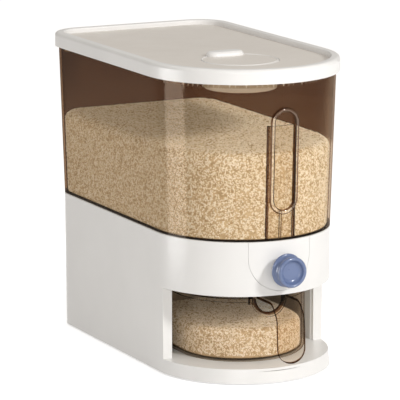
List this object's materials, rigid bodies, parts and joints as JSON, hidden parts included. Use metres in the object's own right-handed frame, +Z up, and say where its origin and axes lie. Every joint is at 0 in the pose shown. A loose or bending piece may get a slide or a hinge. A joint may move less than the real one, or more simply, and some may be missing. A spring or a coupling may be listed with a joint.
{
  "type": "rice dispenser",
  "caption": "Countertop rice dispenser: a clear amber hopper with a flat white lid on a white base, with a push knob that opens the outlet over a clear pull-out drawer.",
  "frame": {"origin": "on the table at the middle of the footprint's bounding box", "axes": "+Z up, the front with the knob and drawer faces -Y, +X to the right seen from the front"},
  "size_m": [0.2, 0.362, 0.313],
  "materials": {
    "white_shell": "semi-gloss moulded",
    "inner_white": "satin moulded",
    "amber_hopper": "clear tinted plastic",
    "amber_drawer": "clear tinted plastic",
    "blue_knob": "semi-gloss moulded",
    "rice": "short-grain rice",
    "silicone": "matte",
    "foot_rubber": "matte",
    "steel": "plain",
    "sachet": "non-woven paper"
  },
  "bodies": {
    "base": {"base_housing": "white_shell", "base_bottom_plate": "inner_white", "base_screws": "steel", "rubber_feet": "foot_rubber", "button_panel": "white_shell", "gate_guide": "inner_white", "gate_guide_screws": "steel", "return_spring": "steel"},
    "button": {"push_knob": "blue_knob", "push_stem": "inner_white", "stem_retaining_clip": "steel", "gate_slide": "inner_white"},
    "hopper_bin": {"hopper": "amber_hopper", "window_strip": "amber_hopper", "hopper_rice": "rice"},
    "lid_cover": {"lid": "white_shell", "lid_gasket": "silicone", "desiccant_cup": "white_shell", "desiccant_pad": "sachet"},
    "desiccant_door": {"desiccant_cap": "white_shell"},
    "drawer_box": {"drawer": "amber_drawer", "drawer_pull": "amber_drawer", "drawer_rice": "rice"}
  },
  "joints": [
    {"name": "button_push", "type": "slide", "parent": "base", "child": "button", "axis": [0, 1, 0], "range_m": [0, 0.008], "stiffness_N_per_m": 350, "springref_m": -0.006, "deforming": ["return_spring"]},
    {"name": "drawer_pull_out", "type": "slide", "parent": "base", "child": "drawer_box", "axis": [0, -1, 0], "range_m": [0, 0.12]},
    {"name": "hopper_lift", "type": "slide", "parent": "base", "child": "hopper_bin", "axis": [0, 0, 1], "range_m": [0, 0.06]},
    {"name": "lid_lift", "type": "slide", "parent": "hopper_bin", "child": "lid_cover", "axis": [0, 0, 1], "range_m": [0, 0.05]},
    {"name": "cap_lift", "type": "slide", "parent": "lid_cover", "child": "desiccant_door", "axis": [0, 0, 1], "range_m": [0, 0.03]}
  ]
}
